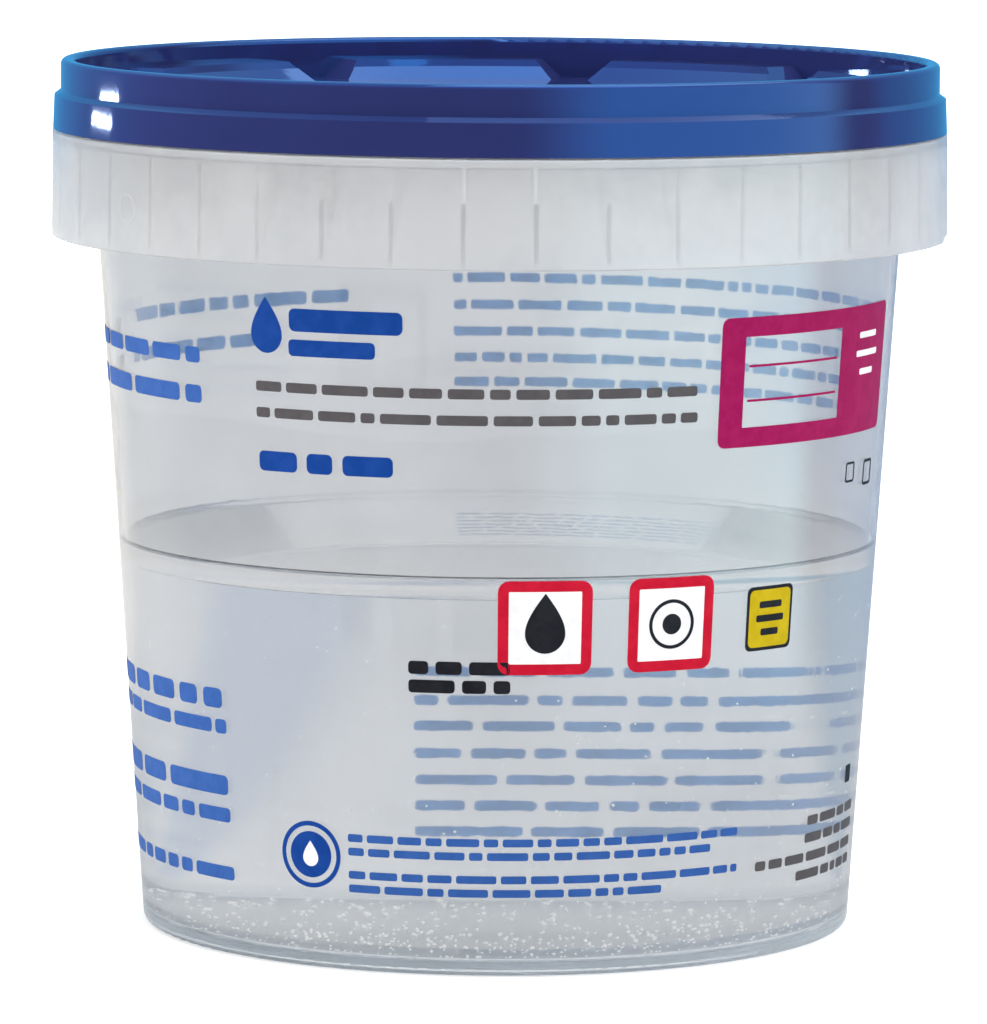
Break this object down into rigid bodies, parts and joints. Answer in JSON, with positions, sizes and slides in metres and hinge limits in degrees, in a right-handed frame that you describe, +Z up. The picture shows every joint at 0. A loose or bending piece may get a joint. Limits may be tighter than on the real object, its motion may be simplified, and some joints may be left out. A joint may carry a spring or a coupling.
{
  "type": "formalin specimen container",
  "caption": "Tapered clear plastic tub, half filled with liquid, with a ribbed skirt and a tear tab under a blue snap lid whose deck is sunk for stacking.",
  "frame": {"origin": "on the table, under the tub's axis", "axes": "+Z up along the tub's axis, -Y towards the printed front, +X to the right as seen from the front"},
  "size_m": [0.1332, 0.1332, 0.1287],
  "materials": {
    "clear_tub": "clear, faintly milky polypropylene",
    "milky_tab": "milky polypropylene",
    "blue_lid": "glossy blue polypropylene",
    "formalin": "clear liquid",
    "barrier_fluid": "clear liquid"
  },
  "bodies": {
    "container": {"container_tub": "clear_tub", "formalin": "formalin", "barrier_fluid": "barrier_fluid"},
    "tear_tab": {"tamper_tab": "milky_tab"},
    "lid": {"lid": "blue_lid"}
  },
  "joints": [
    {"name": "lid_lift", "type": "slide", "parent": "container", "child": "lid", "axis": [0, 0, 1], "range_m": [0, 0.06]},
    {"name": "tab_fold", "type": "hinge", "parent": "container", "child": "tear_tab", "pos_m": [0.05765, 0.03328, 0.1105], "axis": [0, 0, 1], "range_deg": [0, 80]}
  ]
}
